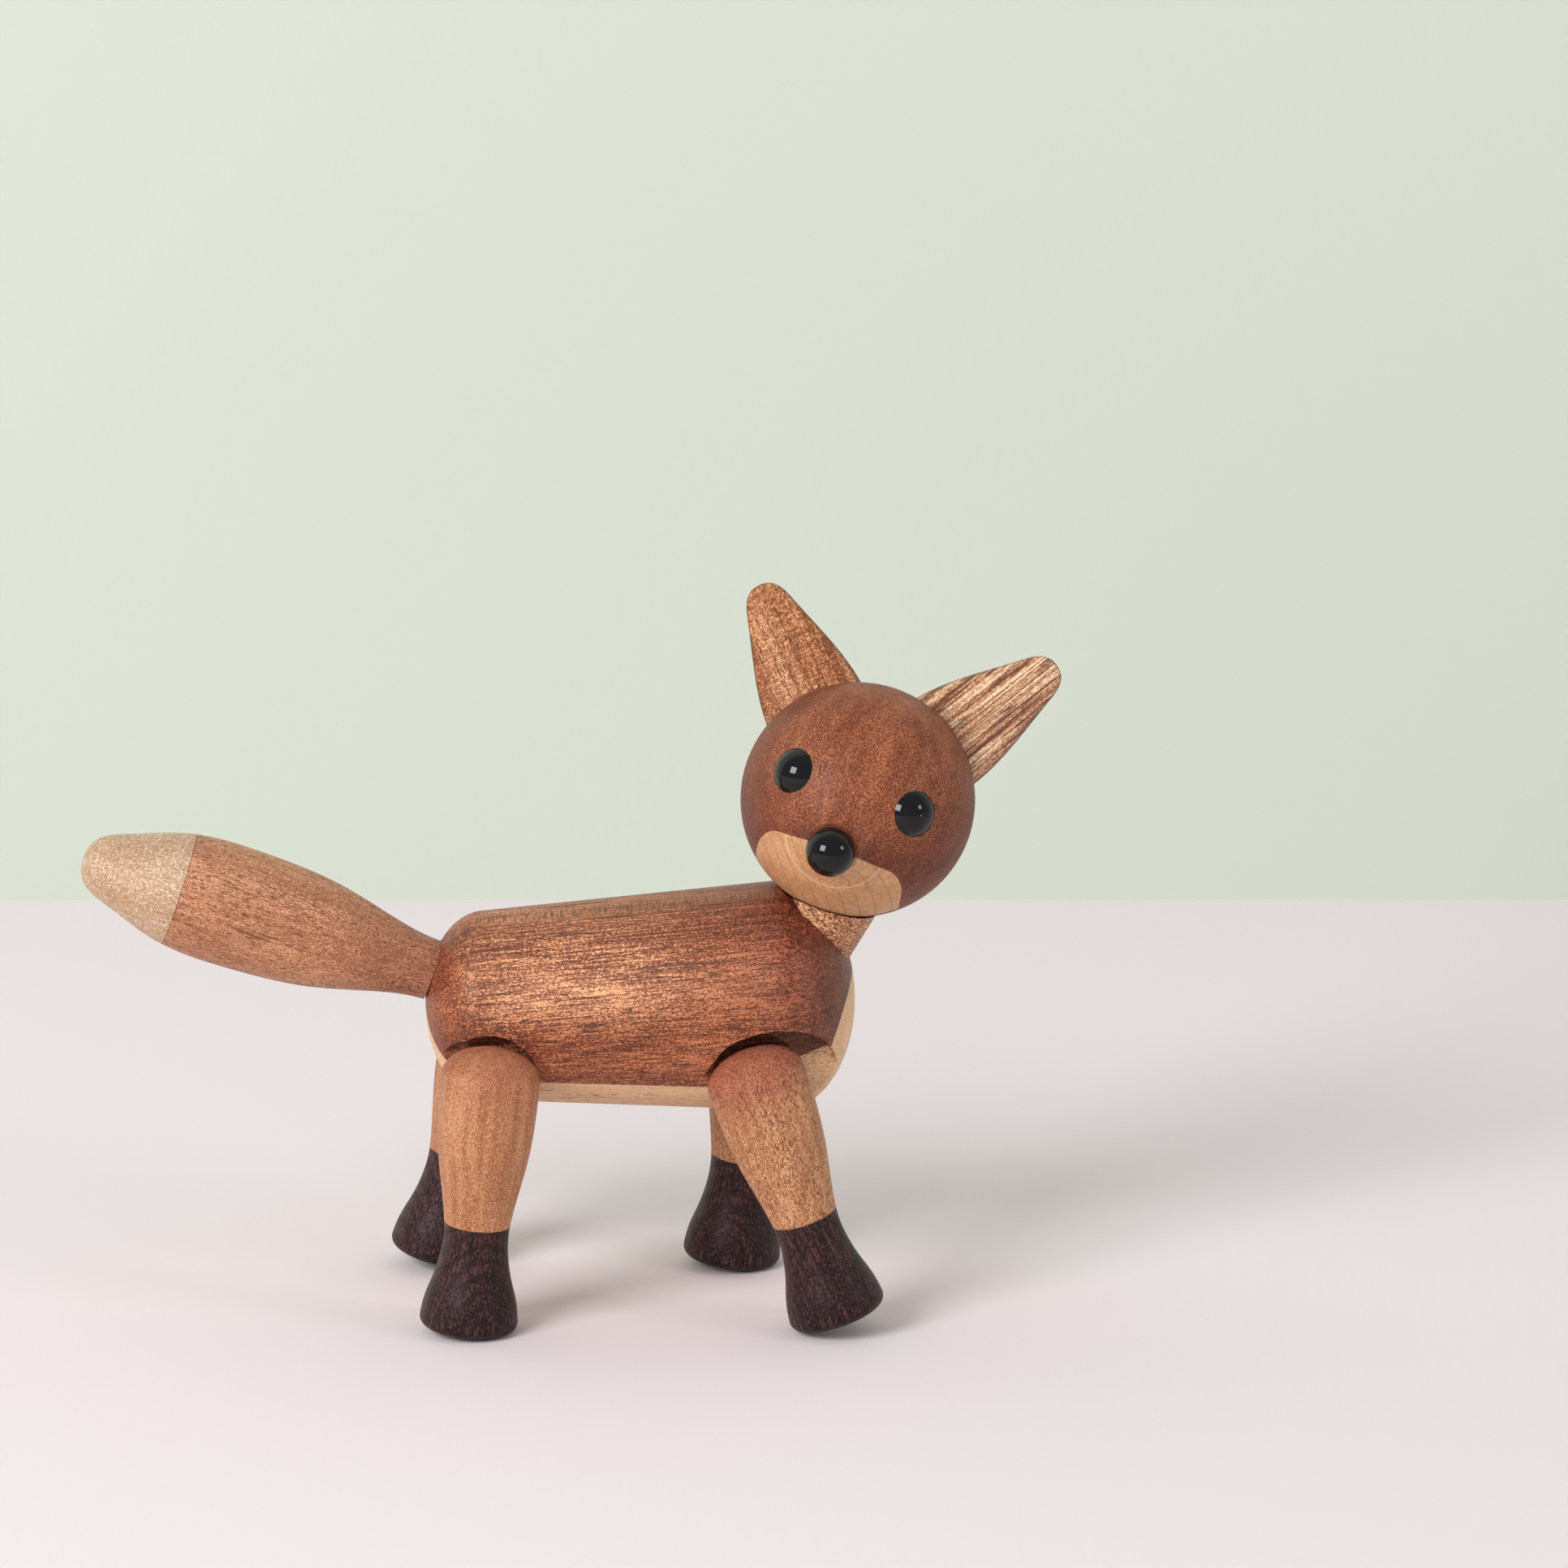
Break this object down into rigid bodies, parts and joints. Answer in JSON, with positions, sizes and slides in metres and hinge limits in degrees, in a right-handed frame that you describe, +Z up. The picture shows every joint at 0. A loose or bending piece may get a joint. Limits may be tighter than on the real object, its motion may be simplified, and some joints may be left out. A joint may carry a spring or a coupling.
{
  "type": "wooden animal figurine",
  "caption": "Posable turned-wood fox standing on all fours, with swinging legs, a turning head with pointed ears and bead eyes, and a turning club tail.",
  "frame": {"origin": "on the floor under the middle of the trunk, between the hips and midway between the left and right legs", "axes": "+X the way the trunk faces, +Y the fox's left side, +Z up; the head is turned to its right at rest"},
  "size_m": [0.1806, 0.061, 0.1314],
  "materials": {
    "back_wood": "satin oiled red-brown hardwood",
    "head_wood": "satin oiled fine red-brown hardwood",
    "ear_wood": "satin oiled orange-brown hardwood",
    "neck_wood": "satin oiled tan hardwood",
    "leg_wood": "satin oiled tan hardwood",
    "foot_wood": "satin oiled dark brown hardwood",
    "pale_wood": "satin oiled pale hardwood",
    "tail_wood": "satin oiled mid brown hardwood",
    "bead_black": "polished gloss",
    "dowel_wood": "plain sanded",
    "ring_rubber": "matt"
  },
  "bodies": {
    "trunk": {"body_back": "back_wood", "belly_wedge": "pale_wood", "fore_axle": "dowel_wood", "hind_axle": "dowel_wood", "hip_rings": "ring_rubber", "neck": "neck_wood", "neck_dowel": "dowel_wood", "head_ring": "ring_rubber", "tail_peg": "dowel_wood", "tail_ring": "ring_rubber"},
    "head": {"head_ball": "head_wood", "muzzle_block": "pale_wood", "nose_bead": "bead_black", "right_eye": "bead_black", "left_eye": "bead_black", "right_ear": "ear_wood", "left_ear": "ear_wood", "right_ear_dowel": "dowel_wood", "left_ear_dowel": "dowel_wood"},
    "tail": {"tail": "tail_wood", "tail_tip": "pale_wood", "tail_tip_dowel": "dowel_wood"},
    "right_fore_leg": {"right_fore_leg": "leg_wood", "right_fore_foot": "foot_wood", "right_fore_ankle_dowel": "dowel_wood"},
    "left_fore_leg": {"left_fore_leg": "leg_wood", "left_fore_foot": "foot_wood", "left_fore_ankle_dowel": "dowel_wood"},
    "right_hind_leg": {"right_hind_leg": "leg_wood", "right_hind_foot": "foot_wood", "right_hind_ankle_dowel": "dowel_wood"},
    "left_hind_leg": {"left_hind_leg": "leg_wood", "left_hind_foot": "foot_wood", "left_hind_ankle_dowel": "dowel_wood"}
  },
  "joints": [
    {"name": "right_fore_swing", "type": "hinge", "parent": "trunk", "child": "right_fore_leg", "pos_m": [0.0223, -0.0214, 0.04626], "axis": [0, 1, 0], "range_deg": [-5.4, 42.6]},
    {"name": "left_fore_swing", "type": "hinge", "parent": "trunk", "child": "left_fore_leg", "pos_m": [0.0223, 0.0214, 0.04626], "axis": [0, 1, 0], "range_deg": [-31, 17]},
    {"name": "right_hind_swing", "type": "hinge", "parent": "trunk", "child": "right_hind_leg", "pos_m": [-0.0274, -0.0214, 0.04626], "axis": [0, 1, 0], "range_deg": [-29.2, 18.8]},
    {"name": "left_hind_swing", "type": "hinge", "parent": "trunk", "child": "left_hind_leg", "pos_m": [-0.0274, 0.0214, 0.04626], "axis": [0, 1, 0], "range_deg": [-37.5, 10.5]},
    {"name": "head_turn", "type": "hinge", "parent": "trunk", "child": "head", "pos_m": [0.04028, 0, 0.09562], "axis": [0.309, 0, 0.9511], "continuous": true},
    {"name": "tail_turn", "type": "hinge", "parent": "trunk", "child": "tail", "pos_m": [-0.03783, 0, 0.06291], "axis": [-0.9489, 0, 0.3156], "continuous": true}
  ]
}
